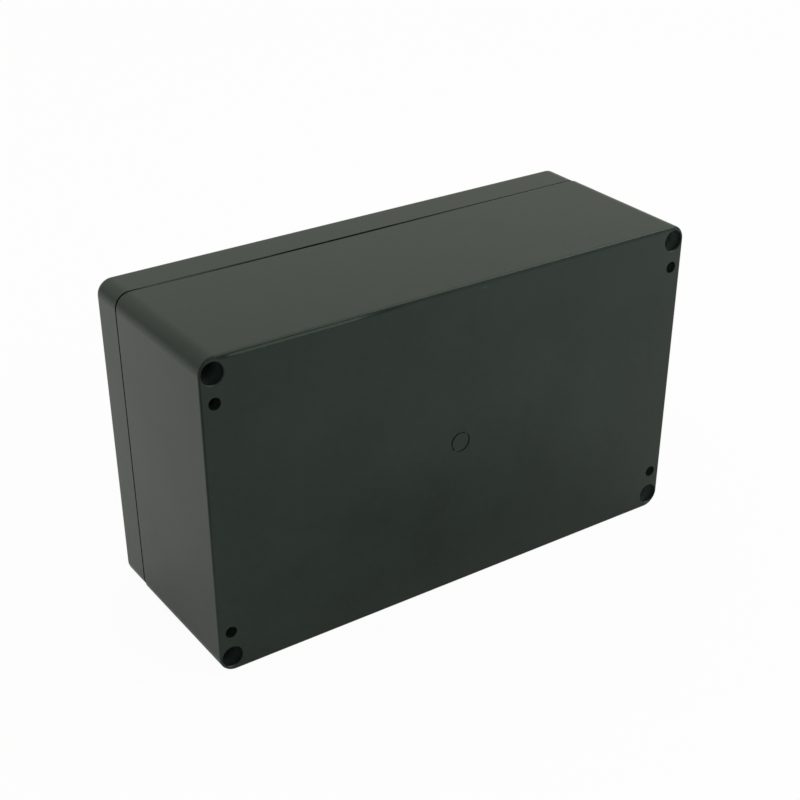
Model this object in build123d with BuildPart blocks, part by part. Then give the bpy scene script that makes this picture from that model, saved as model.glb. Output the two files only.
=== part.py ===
from build123d import *
import os

os.makedirs("parts", exist_ok=True)

# Sealed project box, moulded in plastic: a deep base, a shallow lid, a gasket between
# them and four lid screws that run into brass inserts. Sizes are in millimetres.
# The box stands on one long side. X runs along the box, Z points up, and Y runs
# through it, from the back of the base to the front of the lid.

# Outside of the closed box
box_length = 200.0
box_width = 120.0
base_depth = 59.5
lid_depth = 15.5
corner_radius = 6.0
back_edge_radius = 0.8
front_edge_radius = 2.5

# Walls of the two mouldings
wall = 3.0
floor_thickness = 3.0
front_thickness = 3.0
draft_angle = 0.5

# The lid is a little smaller than the base, whose rim is rebated for a shadow line
lid_inset = 0.3
shadow_line_height = 1.5
shadow_line_depth = 0.6

# Corner posts: a lid screw and a fixing hole side by side in each, outside the seal
screw_inset_end = 4.8
screw_inset_side = 5.8
fixing_offset = 10.4
post_wall = 2.5

# Wells that core the posts from the back, with a broken edge at the mouth
well_radius = 3.9
well_edge = 0.3
well_edge_angle = 45.0
well_web = 2.0

# Fixing holes: the screw goes in from the front and its head sits on a ledge
fixing_radius = 2.2
fixing_channel_radius = 3.6
fixing_ledge = 4.0

# Lid screws, M4 with a cheese head, and the brass inserts they run into
screw_radius = 2.0
screw_length = 16.0
head_radius = 3.5
head_height = 2.6
recess_length = 4.0
recess_width = 0.9
recess_depth = 1.5
insert_radius = 2.8
insert_length = 8.0
seat_spare = 1.0

# Seal: a tongue on the base presses a gasket in a groove in the lid
tongue_width = 1.2
tongue_height = 2.0
groove_inner_room = 0.5
groove_rib = 1.5
gasket_thickness = 2.0

# Square pockets that keep the corner blocks of the lid thin
relief_size = 5.0
relief_depth = 8.0

# Clearances
head_clearance = 0.3
shank_clearance = 0.3
thread_clearance = 0.05
insert_clearance = 0.02
tongue_side_clearance = 0.25
tongue_tip_clearance = 0.3
gasket_clearance = 0.05

# Circuit board bosses on the floor of the base, with pilot holes and gussets
boss_pitch_x = 150.0
boss_pitch_z = 80.0
boss_radius = 3.5
boss_height = 6.0
pilot_radius = 1.3
pilot_depth = 5.0
gusset_length = 14.0
gusset_width = 1.2
gusset_height = 4.0

# Gate mark: a thin round groove in the middle of the back, with two gaps in it
gate_radius = 3.75
gate_width = 0.6
gate_depth = 0.4
gate_gap = 1.2
gate_gap_angle = -52.0

# Worked out from the sizes above
box_depth = base_depth + lid_depth
screw_pitch_x = box_length - 2 * screw_inset_end
screw_pitch_z = box_width - 2 * screw_inset_side
fixing_pitch_z = screw_pitch_z - 2 * fixing_offset
inner_length = box_length - 2 * wall
inner_width = box_width - 2 * wall
post_radius = fixing_channel_radius + post_wall
post_reach_x = screw_inset_end + post_radius - wall
post_reach_z = screw_inset_side + fixing_offset + post_radius - wall
seat_depth = insert_length + seat_spare
seat_radius = insert_radius + insert_clearance
well_depth = base_depth - seat_depth - well_web
grip = screw_length - insert_length
screw_hole_radius = screw_radius + shank_clearance
counterbore_depth = lid_depth - grip
counterbore_radius = head_radius + head_clearance
groove_outer_room = tongue_width + tongue_side_clearance
groove_depth = tongue_height + tongue_tip_clearance + gasket_thickness
pocket_offset = groove_inner_room + groove_rib


# A plane across the box at a distance from the back face, its normal towards the lid
def level(distance):
    centre = (0, distance - box_depth / 2, box_width / 2)
    return Plane(origin=centre, x_dir=(1, 0, 0), z_dir=(0, 1, 0))


# Inside outline of the walls, stepped round the four corner posts
with BuildSketch() as cavity_outline:
    Rectangle(inner_length, inner_width)
    with GridLocations(inner_length, inner_width, 2, 2):
        Rectangle(2 * post_reach_x, 2 * post_reach_z, mode=Mode.SUBTRACT)
    post_corners = cavity_outline.vertices().sort_by(SortBy.DISTANCE)[:4]
    fillet(post_corners, post_radius)

# The same outline grown or shrunk into the band that a tongue, groove or gasket fills
def seal_band(outer, inner):
    with BuildSketch() as band:
        offset(cavity_outline.sketch, amount=outer, kind=Kind.INTERSECTION)
        offset(cavity_outline.sketch, amount=inner, kind=Kind.INTERSECTION, mode=Mode.SUBTRACT)
    return band.sketch


# Base: a drafted shell with the corner posts, the tongue, the bosses and the holes
with BuildPart() as base:
    with BuildSketch(level(0)):
        RectangleRounded(box_length, box_width, corner_radius)
    extrude(amount=base_depth)
    fillet(base.faces().sort_by(Axis.Y)[0].edges(), back_edge_radius)
    with BuildSketch(level(base_depth)):
        add(cavity_outline.sketch)
    extrude(amount=-(base_depth - floor_thickness), taper=draft_angle, mode=Mode.SUBTRACT)

    # Shadow line: a rebate round the outside of the rim
    with BuildSketch(level(base_depth)):
        RectangleRounded(box_length, box_width, corner_radius)
        offset(amount=-shadow_line_depth, mode=Mode.SUBTRACT)
    extrude(amount=-shadow_line_height, mode=Mode.SUBTRACT)

    # Tongue round the rim, inside the posts
    with BuildSketch(level(base_depth)):
        add(seal_band(tongue_width, 0))
    extrude(amount=tongue_height)

    # Circuit board bosses, each with two crossed gussets and a pilot hole
    with BuildSketch(level(floor_thickness)):
        with GridLocations(boss_pitch_x, boss_pitch_z, 2, 2):
            Circle(boss_radius)
    extrude(amount=boss_height)
    with BuildSketch(level(floor_thickness)):
        with GridLocations(boss_pitch_x, boss_pitch_z, 2, 2):
            Rectangle(gusset_length, gusset_width)
            Rectangle(gusset_width, gusset_length)
    extrude(amount=gusset_height)
    with BuildSketch(level(floor_thickness + boss_height)):
        with GridLocations(boss_pitch_x, boss_pitch_z, 2, 2):
            Circle(pilot_radius)
    extrude(amount=-pilot_depth, mode=Mode.SUBTRACT)

    # Wells from the back, with a broken edge round each mouth
    with BuildSketch(level(0)):
        with GridLocations(screw_pitch_x, screw_pitch_z, 2, 2):
            Circle(well_radius)
    extrude(amount=well_depth, mode=Mode.SUBTRACT)
    with BuildSketch(level(0)):
        with GridLocations(screw_pitch_x, screw_pitch_z, 2, 2):
            Circle(well_radius + well_edge)
    extrude(amount=well_edge, taper=well_edge_angle, mode=Mode.SUBTRACT)

    # Seats for the brass inserts, from the rim
    with BuildSketch(level(base_depth)):
        with GridLocations(screw_pitch_x, screw_pitch_z, 2, 2):
            Circle(seat_radius)
    extrude(amount=-seat_depth, mode=Mode.SUBTRACT)

    # Fixing channels from the rim down to a ledge, and the holes through the ledge
    with BuildSketch(level(base_depth)):
        with GridLocations(screw_pitch_x, fixing_pitch_z, 2, 2):
            Circle(fixing_channel_radius)
    extrude(amount=fixing_ledge - base_depth, mode=Mode.SUBTRACT)
    with BuildSketch(level(0)):
        with GridLocations(screw_pitch_x, fixing_pitch_z, 2, 2):
            Circle(fixing_radius)
    extrude(amount=fixing_ledge, mode=Mode.SUBTRACT)

    # Gate mark
    with BuildSketch(level(0)):
        Circle(gate_radius + gate_width / 2)
        Circle(gate_radius - gate_width / 2, mode=Mode.SUBTRACT)
        with PolarLocations(gate_radius, 2, start_angle=gate_gap_angle):
            Rectangle(gate_gap, gate_gap, mode=Mode.SUBTRACT)
    extrude(amount=gate_depth, mode=Mode.SUBTRACT)
base.part.label = "base"
export_step(base.part, "parts/base.step")

# Lid: a shallow shell with the gasket groove and the screw holes
lid_length = box_length - 2 * lid_inset
lid_width = box_width - 2 * lid_inset
lid_corner_radius = corner_radius - lid_inset
with BuildPart() as lid:
    with BuildSketch(level(base_depth)):
        RectangleRounded(lid_length, lid_width, lid_corner_radius)
    extrude(amount=lid_depth)
    fillet(lid.faces().sort_by(Axis.Y)[-1].edges(), front_edge_radius)
    with BuildSketch(level(base_depth)):
        offset(cavity_outline.sketch, amount=-pocket_offset, kind=Kind.INTERSECTION)
    extrude(amount=lid_depth - front_thickness, taper=draft_angle, mode=Mode.SUBTRACT)

    # Groove that holds the gasket and takes the tongue
    with BuildSketch(level(base_depth)):
        add(seal_band(groove_outer_room, -groove_inner_room))
    extrude(amount=groove_depth, mode=Mode.SUBTRACT)

    # Screw holes, counterbored from the front
    with BuildSketch(level(base_depth)):
        with GridLocations(screw_pitch_x, screw_pitch_z, 2, 2):
            Circle(screw_hole_radius)
    extrude(amount=grip, mode=Mode.SUBTRACT)
    with BuildSketch(level(box_depth)):
        with GridLocations(screw_pitch_x, screw_pitch_z, 2, 2):
            Circle(counterbore_radius)
    extrude(amount=-counterbore_depth, mode=Mode.SUBTRACT)

    # Square pockets over the fixing channels
    with BuildSketch(level(base_depth)):
        with GridLocations(screw_pitch_x, fixing_pitch_z, 2, 2):
            Rectangle(relief_size, relief_size)
    extrude(amount=relief_depth, mode=Mode.SUBTRACT)
lid.part.label = "lid"
export_step(lid.part, "parts/lid.step")

# Gasket: a flat cord ring at the bottom of the groove
gasket_start = base_depth + tongue_height + tongue_tip_clearance
with BuildPart() as gasket:
    with BuildSketch(level(gasket_start)):
        add(seal_band(groove_outer_room - gasket_clearance, gasket_clearance - groove_inner_room))
    extrude(amount=gasket_thickness)
gasket.part.label = "gasket"
export_step(gasket.part, "parts/gasket.step")

# Corners of the box in the order that the screws and inserts are numbered
screw_corners = [(x * screw_pitch_x / 2, z * screw_pitch_z / 2) for z in (-1, 1) for x in (-1, 1)]

for number, corner in enumerate(screw_corners, start=1):
    # Screw: its head sits on the step in the lid and its shank reaches through the insert
    with BuildPart() as lid_screw:
        with BuildSketch(level(base_depth + grip)):
            with Locations(corner):
                Circle(head_radius)
        extrude(amount=head_height)
        with BuildSketch(level(base_depth + grip)):
            with Locations(corner):
                Circle(screw_radius)
        extrude(amount=-screw_length)
        with BuildSketch(level(base_depth + grip + head_height)):
            with Locations(corner):
                Rectangle(recess_length, recess_width)
                Rectangle(recess_width, recess_length)
        extrude(amount=-recess_depth, mode=Mode.SUBTRACT)
    lid_screw.part.label = f"lid_screw_{number}"
    export_step(lid_screw.part, f"parts/lid_screw_{number}.step")

    # Insert: a brass bush flush with the rim
    with BuildPart() as insert:
        with BuildSketch(level(base_depth)):
            with Locations(corner):
                Circle(insert_radius)
                Circle(screw_radius + thread_clearance, mode=Mode.SUBTRACT)
        extrude(amount=-insert_length)
    insert.part.label = f"thread_insert_{number}"
    export_step(insert.part, f"parts/thread_insert_{number}.step")
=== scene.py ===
import math

import bmesh
import bpy
from mathutils import Euler, Matrix, Vector


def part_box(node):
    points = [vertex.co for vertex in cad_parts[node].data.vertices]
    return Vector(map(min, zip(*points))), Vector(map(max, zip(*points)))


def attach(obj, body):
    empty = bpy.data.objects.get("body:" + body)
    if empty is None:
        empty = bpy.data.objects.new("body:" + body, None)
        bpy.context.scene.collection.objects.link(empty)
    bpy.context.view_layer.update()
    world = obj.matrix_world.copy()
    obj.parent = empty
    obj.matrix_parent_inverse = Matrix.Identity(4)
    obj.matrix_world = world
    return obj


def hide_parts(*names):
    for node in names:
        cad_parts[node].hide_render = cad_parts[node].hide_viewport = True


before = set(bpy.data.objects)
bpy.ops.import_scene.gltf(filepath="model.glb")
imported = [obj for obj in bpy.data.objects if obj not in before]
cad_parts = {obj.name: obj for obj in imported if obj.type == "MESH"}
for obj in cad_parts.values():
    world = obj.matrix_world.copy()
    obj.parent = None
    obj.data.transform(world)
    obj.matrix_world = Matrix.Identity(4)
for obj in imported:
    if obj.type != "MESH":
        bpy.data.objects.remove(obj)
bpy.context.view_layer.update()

# Looks of a sealed plastic project box that stands on one long side, its back to the camera.
# Lengths are in metres, so a size in millimetres is written as a number times MM.
MM = 0.001

# Camera, fitted to the edges and holes of the box in the photograph
CAMERA_AZIMUTH = -34.454
CAMERA_ELEVATION = 31.920
CAMERA_ROLL = 0.122
CAMERA_AIM = Vector((-10.742, -17.008, 27.730)) * MM
CAMERA_DISTANCE = 556.228 * MM
CAMERA_LENS = 67.258
CAMERA_SENSOR = 36.0
CAMERA_SHIFT = (-0.00321, 0.12883)

# Lid screws, M4 with a cheese head
THREAD_PITCH = 0.7 * MM
THREAD_DEPTH = 0.38 * MM
THREAD_CREST = 0.15
THREAD_FLANK = 0.65
THREAD_RUN_OUT = 0.8 * MM
THREAD_END = 0.2 * MM
TIP_EDGE = 0.1 * MM
STEPS_PER_PITCH = 8
SHANK_RADIUS = 2.0 * MM
SHANK_COLLAR = 0.1 * MM
HEAD_HEIGHT = 2.6 * MM
HEAD_EDGE = 0.45 * MM
HEAD_EDGE_STEPS = 6
HEAD_UNDERSIDE_EDGE = 0.15 * MM
RECESS_HALF_LENGTH = 2.0 * MM
RECESS_HALF_WIDTH = 0.45 * MM
RECESS_DEPTH = 1.5 * MM
RECESS_RIM = (0.2 * MM, 1.05)
RECESS_FLOOR = (-RECESS_DEPTH, 0.5)
SCREW_STEPS = 48
SCREW_TURNS = (17, 64, 27, 81)

# Brass inserts: a knurled outside with a plain waist, and a threaded bore
BORE_RADIUS = 2.05 * MM
BORE_THREAD_DEPTH = 0.28 * MM
KNURL_DEPTH = 0.22 * MM
KNURL_TEETH = 20
KNURL_SLOPE = 2.2 / MM
KNURL_STEP = 0.16 * MM
WAIST_HALF_HEIGHT = 0.6 * MM
INSERT_EDGE = 0.25 * MM
INSERT_STEPS = 96

# Edges sharper than this many degrees stay sharp in the shading
METAL_SHARP_ANGLE = 40
GASKET_SHARP_ANGLE = 35

GASKET_EDGE = 0.4 * MM
GASKET_EDGE_ANGLE = 50
GASKET_EDGE_STEPS = 3

# Holes in the corners of the back, measured from the middle of the box: where they are, how
# much painted light the small ones hold beside the wells, and how it fades in depth and to the left
HOLE_X = 95.2 * MM
WELL_Z = 54.2 * MM
FIXING_Z = 43.8 * MM
HOLE_REACH = 4.2 * MM
HOLE_BORDER = 0.1 * MM
FIXING_PAINTED_LIGHT = 0.8
WELL_LIGHT_STARTS_Y = (0.3 * MM, 5 * MM)
WELL_LIGHT_ENDS_Y = (20 * MM, 15 * MM)
WELL_LIGHT_ACROSS = (-95 * MM, 95 * MM)
WELL_LIGHT_LEFT = 0.42

# Soft upper edge of the back: how far down it starts and is full, and how it fades along x
SOFT_EDGE = (2.1 * MM, 1.4 * MM)
SOFT_EDGE_FACING = (-0.97, -0.995)
SOFT_EDGE_HALVES = (-20 * MM, -60 * MM)
SOFT_EDGE_RIGHT = 0.2
SOFT_EDGE_LEFT_END = (-97 * MM, -84 * MM)

# The joint's line along the top: its width before the joint, its depth below the top, and
# how its painted shade and the painted light in it come and go along x
LINE_STARTS = (2.2 * MM, 1.8 * MM)
LINE_ENDS = 0.05 * MM
LINE_TOP = (1.4 * MM, 1.0 * MM)
LINE_SUNK = (0.2 * MM, 0.4 * MM)
LINE_LEFT = (-100 * MM, -45 * MM)
LINE_LEFT_SHADE = 0.15
LINE_RIGHT = (65 * MM, -5 * MM)
LINE_PAINTED_LIGHT = (25 * MM, 85 * MM)

# Grain of the plastic: size of each pattern, then its height or its share in the colour
CLOUD_SIZE = 35 * MM
MOTTLE_SIZE = 3 * MM
PEEL_SIZE = 6 * MM
GRAIN_SIZE = 0.28 * MM
STREAK_SIZE = 9 * MM
STREAK_STRETCH = (0.25, 1, 9)
SCUFF_SIZE = 50 * MM
SPECK_CELL = 9 * MM
PEEL_HEIGHT = 0.02 * MM
GRAIN_HEIGHT = 0.006 * MM
EDGE_SOFTNESS = 0.25 * MM
RUBBED_REACH = 1.5 * MM
CLOUD_SHARE = 0.7
MOTTLE_SHARE = 0.3
RUBBED_SHARE = 0.1
SCUFF_SHARE = 0.25
SPECK_SHARE = 0.5

# Grain of the rubber and of the turned metal
BLOOM_SIZE = 7 * MM
PORE_SIZE = 0.35 * MM
PORE_HEIGHT = 0.03 * MM
PATCH_SIZE = 2.5 * MM
TOOL_LINE_STRETCH = (0.3, 3, 0.3)
TOOL_LINE_HEIGHT = 0.008 * MM
FIBRE_SIZE = 4 * MM

# Colours, linear
PLASTIC_DARK = (0.0076, 0.0115, 0.0090, 1)
PLASTIC_LIGHT = (0.0124, 0.0175, 0.0140, 1)
PLASTIC_SHEEN = (0.82, 1.0, 0.91, 1)
SPECULAR = 0.27
BASE_ROUGH = 0.30
LID_ROUGH = 0.285
RUBBED = (0.030, 0.036, 0.031, 1)
# Painted light inside the corner holes, brighter towards the right end
WELL_PAINTED_LIGHT = (0.100, 0.130, 0.125, 1)
# Pale colour for dust specks, also used as painted light in the joint line
DUST_AND_PAINTED_LIGHT = (0.22, 0.22, 0.20, 1)
RUBBER = (0.012, 0.012, 0.012, 1)
RUBBER_BLOOM = (0.030, 0.030, 0.029, 1)
STEEL_DARK = (0.50, 0.50, 0.49, 1)
STEEL_LIGHT = (0.66, 0.66, 0.64, 1)
BRASS_DARK = (0.50, 0.34, 0.13, 1)
BRASS_LIGHT = (0.68, 0.50, 0.22, 1)
PAPER_DARK = (0.92, 0.93, 0.87, 1)
PAPER_LIGHT = (0.95, 0.96, 0.90, 1)
WHITE = (1, 1, 1, 1)
BLACK = (0, 0, 0, 1)

# Studio light, where 1 is white: the dome that lights the box, the faint glow of the floor in
# reflections and to the camera, and the room in reflections, with how much darker it is
# towards each side
DOME = 0.73
FLOOR_GLOW = 0.13
FLOOR_SEEN_GLOW = 0.95
FLOOR_SIZE = 6.0
ROOM = 1.19
DARKER_ABOVE = 0.28
DARKER_RIGHT = 0.59
DARKER_LEFT = 0.29
DARKER_LEFT_WALL = 0.29
DARKER_NEAR = 0.4
ROOM_TINT = (1.0, 1.04, 0.92, 1)
SOFTBOX = 1.7

# Where each side of the room begins and is full, as parts of the direction along an axis
ABOVE_Z = (0.25, 0.6)
RIGHT_X = (-0.35, 0.55)
RIGHT_Z = (0.6, 0.25)
LEFT_X = (-0.15, -0.5)
LEFT_WALL_Z = (0.45, 0.15)
NEAR_Y = (0.1, -0.5)
SOFTBOX_X = (0.15, 0.35)
SOFTBOX_FAR_Y = (0.3, 0.1)
SOFTBOX_NEAR_Y = (-0.8, -0.65)
SOFTBOX_Z = (0.40, 0.55)

# Parts of the floor that look darker in reflections: a painted shadow of the box before its back,
# and a patch off its left corner
FOOT_SHADE = 0.40
FOOT_MIDDLE = (27 * MM, -76 * MM)
FOOT_X = (120 * MM, 20 * MM)
FOOT_Y = (50 * MM, 8 * MM)
CORNER_SHADE = 0.6
CORNER_X = (-120 * MM, -190 * MM)
CORNER_Y = (-40 * MM, -90 * MM)

LAMP_PLACE = Vector((0.7, -0.55, 0.5))
LAMP_AIM = Vector((0.2, -0.15, 0))
LAMP_SIDE = 0.5
LAMP_POWER = 2.4

base_low, base_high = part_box("base")
lid_low, lid_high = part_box("lid")
box_low, box_high = base_low, Vector((base_high.x, lid_high.y, base_high.z))


# Node helpers

def new_material(name):
    material = bpy.data.materials.new(name)
    material.use_nodes = True
    return material, material.node_tree


def feed(tree, socket, value):
    if isinstance(value, bpy.types.NodeSocket):
        tree.links.new(value, socket)
    else:
        socket.default_value = value


def add_node(tree, kind, settings=None, **inputs):
    node = tree.nodes.new(kind)
    for key, value in (settings or {}).items():
        setattr(node, key, value)
    for key, value in inputs.items():
        feed(tree, node.inputs[key], value)
    return node


def combine(tree, operation, first, second=0.0):
    node = add_node(tree, "ShaderNodeMath", {"operation": operation})
    feed(tree, node.inputs[0], first)
    feed(tree, node.inputs[1], second)
    return node.outputs[0]


def product(tree, first, *others):
    for other in others:
        first = combine(tree, "MULTIPLY", first, other)
    return first


def remap(tree, value, low, high, to_low=0.0, to_high=1.0):
    node = add_node(tree, "ShaderNodeMapRange", {"interpolation_type": "SMOOTHSTEP"}, Value=value)
    for socket, number in zip(node.inputs[1:5], (low, high, to_low, to_high)):
        socket.default_value = number
    return node.outputs[0]


def mix_colours(tree, factor, first, second):
    node = add_node(tree, "ShaderNodeMix", {"data_type": "RGBA"})
    feed(tree, node.inputs[0], factor)
    feed(tree, node.inputs[6], first)
    feed(tree, node.inputs[7], second)
    return node.outputs[2]


def object_point(tree, drift=(0, 0, 0)):
    point = add_node(tree, "ShaderNodeTexCoord").outputs["Object"]
    return add_node(tree, "ShaderNodeMapping", Vector=point, Location=drift).outputs[0]


def parts(tree, vector):
    return add_node(tree, "ShaderNodeSeparateXYZ", Vector=vector).outputs


def vector_math(tree, operation, *vectors):
    node = add_node(tree, "ShaderNodeVectorMath", {"operation": operation})
    for socket, vector in zip(node.inputs, vectors):
        feed(tree, socket, vector)
    return node.outputs[0]


# How far a coordinate lies from a middle, either way
def away_from(tree, value, middle):
    return combine(tree, "ABSOLUTE", combine(tree, "SUBTRACT", value, middle))


# 1 for rays that come off a shiny surface or through a clear one, 0 for the rest
def mirrored_ray(tree, path):
    return combine(tree, "MAXIMUM", path["Is Glossy Ray"], path["Is Transmission Ray"])


def noise(tree, point, size, detail=2.0, stretch=(1, 1, 1)):
    place = add_node(tree, "ShaderNodeMapping", Vector=point, Scale=stretch).outputs[0]
    return add_node(tree, "ShaderNodeTexNoise", Vector=place, Scale=1 / size, Detail=detail).outputs[0]


def bump(tree, height, distance, normal=None):
    node = add_node(tree, "ShaderNodeBump", Height=height, Distance=distance)
    if normal is not None:
        feed(tree, node.inputs["Normal"], normal)
    return node.outputs[0]


# Materials

# How near a point lies to the outer edges of the closed box: 1 on an edge, 0 a reach away
def edge_mask(tree, reach):
    point = parts(tree, object_point(tree))
    middle = (box_low + box_high) / 2
    limits = (box_high - box_low) / 2
    near = []
    for axis in range(3):
        away = away_from(tree, point[axis], middle[axis])
        near.append(remap(tree, away, limits[axis] - reach, limits[axis]))
    pairs = [product(tree, near[i], near[(i + 1) % 3]) for i in range(3)]
    return combine(tree, "MAXIMUM", combine(tree, "MAXIMUM", pairs[0], pairs[1]), pairs[2])


# Painted light inside the holes in the corners of the back, brighter towards the right end: 0 outside
# them
def well_painted_light_mask(tree):
    x, y, z = parts(tree, object_point(tree))
    across = combine(tree, "SUBTRACT", combine(tree, "ABSOLUTE", x), HOLE_X)
    up = away_from(tree, z, (box_low.z + box_high.z) / 2)
    inner = HOLE_REACH - HOLE_BORDER
    inside = []
    for hole_z, share in ((WELL_Z, 1), (FIXING_Z, FIXING_PAINTED_LIGHT)):
        along = combine(tree, "SUBTRACT", up, hole_z)
        square = combine(tree, "ADD", product(tree, across, across), product(tree, along, along))
        inside.append(remap(tree, square, HOLE_REACH ** 2, inner ** 2, 0, share))
    starts = remap(tree, y, *(box_low.y + depth for depth in WELL_LIGHT_STARTS_Y))
    ends = remap(tree, y, *(box_low.y + depth for depth in WELL_LIGHT_ENDS_Y))
    sideways = remap(tree, x, *WELL_LIGHT_ACROSS, WELL_LIGHT_LEFT, 1)
    return product(tree, starts, ends, sideways, combine(tree, "MAXIMUM", *inside))


# The back rolls over softly along its upper edge, most of all in the left half
def soft_upper_edge(tree, normal):
    x, y, z = parts(tree, object_point(tree))
    facing = parts(tree, add_node(tree, "ShaderNodeNewGeometry").outputs["True Normal"])
    lift = product(tree, remap(tree, z, *(box_high.z - depth for depth in SOFT_EDGE)),
                   remap(tree, facing[1], *SOFT_EDGE_FACING),
                   remap(tree, x, *SOFT_EDGE_HALVES, SOFT_EDGE_RIGHT, 1),
                   remap(tree, x, *SOFT_EDGE_LEFT_END))
    up = add_node(tree, "ShaderNodeCombineXYZ", Z=lift).outputs[0]
    return vector_math(tree, "NORMALIZE", vector_math(tree, "ADD", normal, up))


# The line at the joint along the top: painted shade over and beside it in the left half, and
# painted light that fills it towards the right end
def line_masks(tree):
    x, y, z = parts(tree, object_point(tree))
    band = product(tree, remap(tree, z, *(box_high.z - depth for depth in LINE_TOP)),
                   remap(tree, y, *(lid_low.y - width for width in LINE_STARTS)),
                   remap(tree, y, lid_low.y, lid_low.y - LINE_ENDS))
    shade = product(tree, band, remap(tree, x, *LINE_LEFT, LINE_LEFT_SHADE, 1),
                    remap(tree, x, *LINE_RIGHT))
    sunk = remap(tree, z, *(box_high.z - depth for depth in LINE_SUNK))
    return shade, product(tree, band, sunk, remap(tree, x, *LINE_PAINTED_LIGHT))


# A few tiny pale dots, one in about fourteen cells of the given size
def dust_mask(tree, point, cell):
    cells = add_node(tree, "ShaderNodeTexVoronoi", Vector=point, Scale=1 / cell)
    pick = add_node(tree, "ShaderNodeSeparateColor", Color=cells.outputs["Color"]).outputs[0]
    dot = remap(tree, cells.outputs["Distance"], 0.025, 0.015)
    return product(tree, remap(tree, pick, 0.93, 0.94), dot)


# Satin black moulding: fine spark texture, slow colour clouds, rubbed edges, faint scuffs, dust,
# painted light inside the corner holes, and painted shade and painted light along the joint line
def moulded_plastic(name, rough, drift):
    material, tree = new_material(name)
    shader = tree.nodes["Principled BSDF"]
    point = object_point(tree, drift)

    clouds = noise(tree, point, CLOUD_SIZE, 4)
    mottle = noise(tree, point, MOTTLE_SIZE, 3)
    peel = noise(tree, point, PEEL_SIZE)
    grain = noise(tree, point, GRAIN_SIZE)
    streaks = remap(tree, noise(tree, point, STREAK_SIZE, 4, STREAK_STRETCH), 0.66, 0.78)
    scuffs = product(tree, streaks, remap(tree, noise(tree, point, SCUFF_SIZE), 0.5, 0.7))
    rubbed = product(tree, edge_mask(tree, RUBBED_REACH), remap(tree, mottle, 0.4, 0.7))
    specks = dust_mask(tree, point, SPECK_CELL)
    painted_line_shade, painted_line_light = line_masks(tree)

    slow = remap(tree, clouds, 0.3, 0.7, 0, CLOUD_SHARE)
    shade = combine(tree, "ADD", slow, remap(tree, mottle, 0.3, 0.7, 0, MOTTLE_SHARE))
    colour = mix_colours(tree, shade, PLASTIC_DARK, PLASTIC_LIGHT)
    for share, layer in ((product(tree, rubbed, RUBBED_SHARE), RUBBED),
                         (product(tree, scuffs, SCUFF_SHARE), RUBBED),
                         (product(tree, specks, SPECK_SHARE), DUST_AND_PAINTED_LIGHT),
                         # the hole interiors get painted light; the joint line gets painted shade and,
                         # towards its right end, painted light
                         (well_painted_light_mask(tree), WELL_PAINTED_LIGHT), (painted_line_shade, BLACK), (painted_line_light, DUST_AND_PAINTED_LIGHT)):
        colour = mix_colours(tree, share, colour, layer)
    feed(tree, shader.inputs["Base Color"], colour)

    roughness = remap(tree, clouds, 0.2, 0.8, rough - 0.03, rough + 0.04)
    roughness = combine(tree, "ADD", roughness, remap(tree, grain, 0.2, 0.8, -0.03, 0.03))
    roughness = combine(tree, "SUBTRACT", roughness, product(tree, rubbed, 0.06))
    roughness = combine(tree, "ADD", roughness, product(tree, scuffs, 0.06))
    feed(tree, shader.inputs["Roughness"], roughness)
    # Where the joint line has painted shade, the specular goes down with it, so no reflection shows
    # there
    feed(tree, shader.inputs["Specular IOR Level"], remap(tree, painted_line_shade, 0, 1, SPECULAR, 0))
    shader.inputs["Specular Tint"].default_value = PLASTIC_SHEEN

    rounded = add_node(tree, "ShaderNodeBevel", {"samples": 6}, Radius=EDGE_SOFTNESS).outputs[0]
    wavy = bump(tree, peel, PEEL_HEIGHT, soft_upper_edge(tree, rounded))
    feed(tree, shader.inputs["Normal"], bump(tree, grain, GRAIN_HEIGHT, wavy))
    return material


# Black sealing rubber: soft, dull, with a light bloom of powder
def gasket_rubber():
    material, tree = new_material("gasket_rubber")
    shader = tree.nodes["Principled BSDF"]
    point = object_point(tree)
    bloom = noise(tree, point, BLOOM_SIZE, 4)
    pores = noise(tree, point, PORE_SIZE, 3)
    colour = mix_colours(tree, remap(tree, bloom, 0.35, 0.7), RUBBER, RUBBER_BLOOM)
    feed(tree, shader.inputs["Base Color"], colour)
    feed(tree, shader.inputs["Roughness"], remap(tree, pores, 0.2, 0.8, 0.68, 0.86))
    shader.inputs["Specular IOR Level"].default_value = 0.35
    feed(tree, shader.inputs["Normal"], bump(tree, pores, PORE_HEIGHT))
    return material


# Turned metal: tool lines round the piece, and patches of dull and bright
def turned_metal(name, dark, light, rough, line_size):
    material, tree = new_material(name)
    shader = tree.nodes["Principled BSDF"]
    point = object_point(tree)
    patches = noise(tree, point, PATCH_SIZE, 4)
    lines = noise(tree, point, line_size, 2, TOOL_LINE_STRETCH)
    colour = mix_colours(tree, remap(tree, patches, 0.3, 0.7), dark, light)
    feed(tree, shader.inputs["Base Color"], colour)
    feed(tree, shader.inputs["Roughness"], remap(tree, patches, 0.25, 0.75, rough - 0.06, rough + 0.08))
    shader.inputs["Metallic"].default_value = 1.0
    feed(tree, shader.inputs["Normal"], bump(tree, lines, TOOL_LINE_HEIGHT))
    return material
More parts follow.
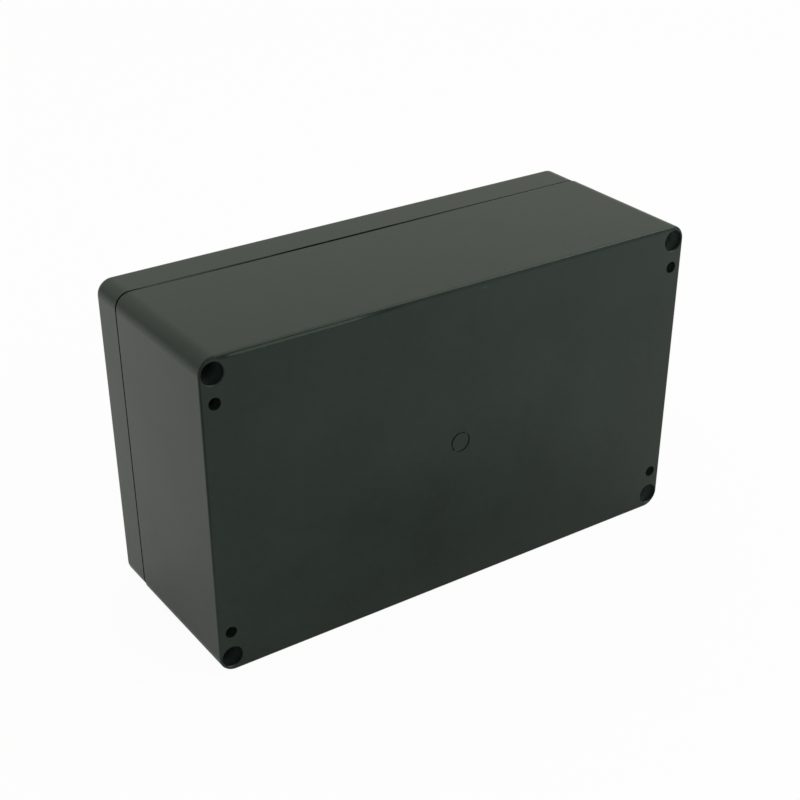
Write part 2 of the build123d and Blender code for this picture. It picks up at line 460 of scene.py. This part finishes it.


# Pale paper that the camera and reflections see as near white, with the box's shadow on it, and in
# reflections a painted shadow before the box
def floor_paper():
    material, tree = new_material("floor_paper")
    tree.nodes.remove(tree.nodes["Principled BSDF"])
    point = object_point(tree)
    x, y, z = parts(tree, point)
    path = add_node(tree, "ShaderNodeLightPath").outputs
    mirrored = mirrored_ray(tree, path)

    # Seen only in reflections: a painted shadow of the box before its back, and a darker patch off its
    # left corner
    foot = product(tree, remap(tree, away_from(tree, x, FOOT_MIDDLE[0]), *FOOT_X, 0, FOOT_SHADE),
                   remap(tree, away_from(tree, y, FOOT_MIDDLE[1]), *FOOT_Y))
    corner = product(tree, remap(tree, x, *CORNER_X, 0, CORNER_SHADE), remap(tree, y, *CORNER_Y))
    shade = product(tree, combine(tree, "MAXIMUM", foot, corner), mirrored)
    plain = mix_colours(tree, noise(tree, point, FIBRE_SIZE, 4), PAPER_DARK, PAPER_LIGHT)
    paper = add_node(tree, "ShaderNodeBsdfDiffuse", Color=mix_colours(tree, shade, plain, BLACK))

    faint = product(tree, mirrored, FLOOR_GLOW)
    glow = add_node(tree, "ShaderNodeEmission", Color=WHITE, Strength=faint)
    lit = add_node(tree, "ShaderNodeAddShader")
    feed(tree, lit.inputs[0], paper.outputs[0])
    feed(tree, lit.inputs[1], glow.outputs[0])
    seen = product(tree, path["Is Camera Ray"], FLOOR_SEEN_GLOW)
    shader = add_node(tree, "ShaderNodeMixShader", Fac=seen)
    feed(tree, shader.inputs[1], lit.outputs[0])
    feed(tree, shader.inputs[2], add_node(tree, "ShaderNodeEmission", Color=WHITE).outputs[0])
    feed(tree, tree.nodes["Material Output"].inputs[0], shader.outputs[0])
    return material


# Pieces

# A round mesh about the Y axis through rings of (y, radius). A radius may be a function of the
# angle and y, for threads and knurls. It is capped at both ends, or closed into a tube
def turned_mesh(rings, steps, tube=False):
    mesh = bmesh.new()
    rows = []
    for y, radius in rings:
        row = []
        for step in range(steps):
            angle = 2 * math.pi * step / steps
            reach = radius(angle, y) if callable(radius) else radius
            row.append(mesh.verts.new((reach * math.cos(angle), y, reach * math.sin(angle))))
        rows.append(row)
    for low, high in zip(rows, rows[1:] + rows[:1] if tube else rows[1:]):
        for step in range(steps):
            after = (step + 1) % steps
            mesh.faces.new((low[step], high[step], high[after], low[after]))
    if not tube:
        mesh.faces.new(rows[0])
        mesh.faces.new(rows[-1])
    bmesh.ops.recalc_face_normals(mesh, faces=mesh.faces)
    return mesh


def steps_between(low, high, step):
    count = max(1, round((high - low) / step))
    return [low + (high - low) * i / count for i in range(count + 1)]


# Distance into a thread's groove at a point: 0 on the flat crest, 1 on the flat root
def thread_groove(angle, y):
    phase = (y / THREAD_PITCH + angle / (2 * math.pi)) % 1
    slope = abs(phase - 0.5) * 2
    return min(1, max(0, (slope - THREAD_CREST) / THREAD_FLANK))


def mesh_object(name, mesh, material):
    data = bpy.data.meshes.new(name)
    mesh.to_mesh(data)
    mesh.free()
    data.materials.append(material)
    piece = bpy.data.objects.new(name, data)
    bpy.context.scene.collection.objects.link(piece)
    return piece


def smooth_faces(data, angle):
    data.shade_smooth()
    data.set_sharp_from_angle(angle=math.radians(angle))


# Cross-shaped cutter whose wings narrow towards the bottom of the recess
def recess_cutter(top):
    mesh = bmesh.new()
    outlines = []
    for rise, share in (RECESS_RIM, RECESS_FLOOR):
        length = RECESS_HALF_LENGTH * share
        width = RECESS_HALF_WIDTH * (0.6 + 0.4 * share)
        corners = [(length, -width), (length, width), (width, width)]
        outline = []
        for quarter in range(4):
            turn = Matrix.Rotation(quarter * math.pi / 2, 2)
            for corner in corners:
                x, z = turn @ Vector(corner)
                outline.append(mesh.verts.new((x, top + rise, z)))
        outlines.append(outline)
    for step in range(len(outlines[0])):
        after = (step + 1) % len(outlines[0])
        mesh.faces.new((outlines[0][step], outlines[0][after], outlines[1][after], outlines[1][step]))
    mesh.faces.new(outlines[0])
    mesh.faces.new(outlines[1])
    bmesh.ops.recalc_face_normals(mesh, faces=mesh.faces)
    return mesh


# One screw about the Y axis, with the underside of its head at y = 0
def screw_data(length, head_radius, material):
    tip = HEAD_HEIGHT - length

    def thread(angle, y):
        fade = min(1, max(0, (-THREAD_RUN_OUT / 2 - y) / THREAD_RUN_OUT))
        reach = SHANK_RADIUS - THREAD_DEPTH * thread_groove(angle, y) * fade
        return min(reach, SHANK_RADIUS - THREAD_DEPTH - TIP_EDGE + (y - tip))

    rings = [(y, thread) for y in steps_between(tip, -THREAD_END, THREAD_PITCH / STEPS_PER_PITCH)]
    rings.append((0, SHANK_RADIUS + SHANK_COLLAR))
    rings.append((0, head_radius - HEAD_UNDERSIDE_EDGE))
    rings.append((HEAD_UNDERSIDE_EDGE, head_radius))
    for step in range(HEAD_EDGE_STEPS + 1):
        turn = math.radians(90 * step / HEAD_EDGE_STEPS)
        rise = HEAD_HEIGHT - HEAD_EDGE * (1 - math.sin(turn))
        rings.append((rise, head_radius - HEAD_EDGE * (1 - math.cos(turn))))
    body = mesh_object("screw_blank", turned_mesh(rings, SCREW_STEPS), material)
    cutter = mesh_object("screw_cutter", recess_cutter(HEAD_HEIGHT), material)
    cut = body.modifiers.new("recess", "BOOLEAN")
    cut.operation = "DIFFERENCE"
    cut.object = cutter
    evaluated = body.evaluated_get(bpy.context.evaluated_depsgraph_get())
    data = bpy.data.meshes.new_from_object(evaluated)
    bpy.data.objects.remove(body)
    bpy.data.objects.remove(cutter)
    smooth_faces(data, METAL_SHARP_ANGLE)
    return data


# One insert about the Y axis, with its top at y = 0
def insert_data(length, radius, material):
    def knurl(angle, y):
        if abs(y + length / 2) < WAIST_HALF_HEIGHT:
            return radius - KNURL_DEPTH
        left = math.cos(KNURL_TEETH * angle + KNURL_SLOPE * y)
        right = math.cos(KNURL_TEETH * angle - KNURL_SLOPE * y)
        return radius - KNURL_DEPTH * (1 - left * right) / 2

    def bore(angle, y):
        return BORE_RADIUS + BORE_THREAD_DEPTH * thread_groove(angle, y)

    edge = INSERT_EDGE
    rings = [(-length, radius - edge)]
    rings += [(y, knurl) for y in steps_between(edge - length, -edge, KNURL_STEP)]
    rings += [(0, radius - edge), (0, BORE_RADIUS + BORE_THREAD_DEPTH)]
    inner = steps_between(edge - length, -edge, THREAD_PITCH / STEPS_PER_PITCH)
    rings += [(y, bore) for y in reversed(inner)]
    rings += [(-length, BORE_RADIUS + BORE_THREAD_DEPTH)]
    piece = mesh_object("insert_blank", turned_mesh(rings, INSERT_STEPS, tube=True), material)
    data = piece.data
    bpy.data.objects.remove(piece)
    smooth_faces(data, METAL_SHARP_ANGLE)
    return data


def seat_piece(name, data, place, turn, body, node):
    piece = bpy.data.objects.new(name, data)
    bpy.context.scene.collection.objects.link(piece)
    piece.location = place
    piece.rotation_euler = (0, math.radians(turn), 0)
    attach(piece, body)
    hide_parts(node)
    return piece


def make_screws(material):
    names = sorted(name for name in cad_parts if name.startswith("lid_screw_"))
    low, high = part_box(names[0])
    data = screw_data(high.y - low.y, (high.x - low.x) / 2, material)
    for name, turn in zip(names, SCREW_TURNS):
        low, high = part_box(name)
        place = ((low.x + high.x) / 2, high.y - HEAD_HEIGHT, (low.z + high.z) / 2)
        seat_piece(f"{name}_look", data, place, turn, name, name)


def make_inserts(material):
    names = sorted(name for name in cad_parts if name.startswith("thread_insert_"))
    low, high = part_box(names[0])
    data = insert_data(high.y - low.y, (high.x - low.x) / 2, material)
    for name, turn in zip(names, SCREW_TURNS):
        low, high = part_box(name)
        place = ((low.x + high.x) / 2, high.y, (low.z + high.z) / 2)
        seat_piece(f"{name}_look", data, place, turn, "base", name)


# The gasket's own ring with its long edges rounded
def make_gasket(material):
    mesh = bmesh.new()
    mesh.from_mesh(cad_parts["gasket"].data)
    bmesh.ops.remove_doubles(mesh, verts=mesh.verts, dist=0.001 * MM)
    bmesh.ops.dissolve_limit(mesh, angle_limit=math.radians(1), verts=mesh.verts, edges=mesh.edges)
    turn = math.radians(GASKET_EDGE_ANGLE)
    edges = [edge for edge in mesh.edges if edge.calc_face_angle(0) > turn]
    bmesh.ops.bevel(mesh, geom=edges, offset=GASKET_EDGE, segments=GASKET_EDGE_STEPS,
                    profile=0.5, affect="EDGES")
    piece = mesh_object("gasket_look", mesh, material)
    smooth_faces(piece.data, GASKET_SHARP_ANGLE)
    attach(piece, "lid")
    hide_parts("gasket")


def dress_node(name, material):
    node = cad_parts[name]
    for slot in node.material_slots:
        slot.material = material


# Studio

def make_floor():
    mesh = bmesh.new()
    bmesh.ops.create_grid(mesh, x_segments=1, y_segments=1, size=FLOOR_SIZE)
    mesh_object("floor", mesh, floor_paper())


def make_lamp():
    lamp = bpy.data.lights.new("lamp_right", "AREA")
    lamp.shape = "SQUARE"
    lamp.size = LAMP_SIDE
    lamp.energy = LAMP_POWER
    holder = bpy.data.objects.new("lamp_right", lamp)
    holder.location = LAMP_PLACE
    holder.rotation_euler = (LAMP_AIM - LAMP_PLACE).to_track_quat("-Z", "Y").to_euler()
    bpy.context.scene.collection.objects.link(holder)


# An even white dome, which reflections see as a room brightest low down behind the box
def make_world():
    world = bpy.data.worlds.new("studio")
    world.use_nodes = True
    tree = world.node_tree
    x, y, z = parts(tree, add_node(tree, "ShaderNodeTexCoord").outputs["Generated"])
    box = product(tree, remap(tree, x, *SOFTBOX_X), remap(tree, y, *SOFTBOX_FAR_Y),
                  remap(tree, y, *SOFTBOX_NEAR_Y), remap(tree, z, *SOFTBOX_Z))
    wall = remap(tree, z, *LEFT_WALL_Z, DARKER_LEFT, DARKER_LEFT + DARKER_LEFT_WALL)
    darker = (
        remap(tree, z, *ABOVE_Z, 0, DARKER_ABOVE),
        product(tree, remap(tree, x, *RIGHT_X), remap(tree, z, *RIGHT_Z, 0, DARKER_RIGHT)),
        product(tree, remap(tree, x, *LEFT_X), wall),
        remap(tree, y, *NEAR_Y, 0, DARKER_NEAR),
    )
    room = combine(tree, "ADD", ROOM, product(tree, box, SOFTBOX))
    for share in darker:
        room = combine(tree, "SUBTRACT", room, share)

    path = add_node(tree, "ShaderNodeLightPath").outputs
    mirrored = mirrored_ray(tree, path)
    light = add_node(tree, "ShaderNodeMix", {"data_type": "FLOAT"})
    feed(tree, light.inputs[0], mirrored)
    feed(tree, light.inputs[2], remap(tree, path["Is Camera Ray"], 0, 1, DOME, 1.0))
    feed(tree, light.inputs[3], room)
    background = tree.nodes["Background"]
    feed(tree, background.inputs["Color"], mix_colours(tree, mirrored, WHITE, ROOM_TINT))
    feed(tree, background.inputs["Strength"], light.outputs[0])
    bpy.context.scene.world = world


def make_camera():
    camera = bpy.data.cameras.new("camera")
    camera.lens = CAMERA_LENS
    camera.sensor_width = CAMERA_SENSOR
    camera.shift_x, camera.shift_y = CAMERA_SHIFT
    camera.clip_start = 0.01
    tilt = Euler((math.radians(90 - CAMERA_ELEVATION), 0, math.radians(CAMERA_AZIMUTH))).to_matrix()
    turn = (tilt @ Matrix.Rotation(math.radians(CAMERA_ROLL), 3, "Z")).to_4x4()
    back = turn.to_3x3() @ Vector((0, 0, 1))
    holder = bpy.data.objects.new("camera", camera)
    holder.matrix_world = Matrix.Translation(CAMERA_AIM + back * CAMERA_DISTANCE) @ turn
    bpy.context.scene.collection.objects.link(holder)
    bpy.context.scene.camera = holder


dress_node("base", moulded_plastic("base_plastic", BASE_ROUGH, (0, 0, 0)))
dress_node("lid", moulded_plastic("lid_plastic", LID_ROUGH, (0.3, 0.1, 0.2)))
make_gasket(gasket_rubber())
make_screws(turned_metal("plated_steel", STEEL_DARK, STEEL_LIGHT, 0.30, 0.25 * MM))
make_inserts(turned_metal("turned_brass", BRASS_DARK, BRASS_LIGHT, 0.28, 0.2 * MM))

make_floor()
make_world()
make_lamp()
make_camera()

bpy.context.scene.view_settings.view_transform = "Standard"
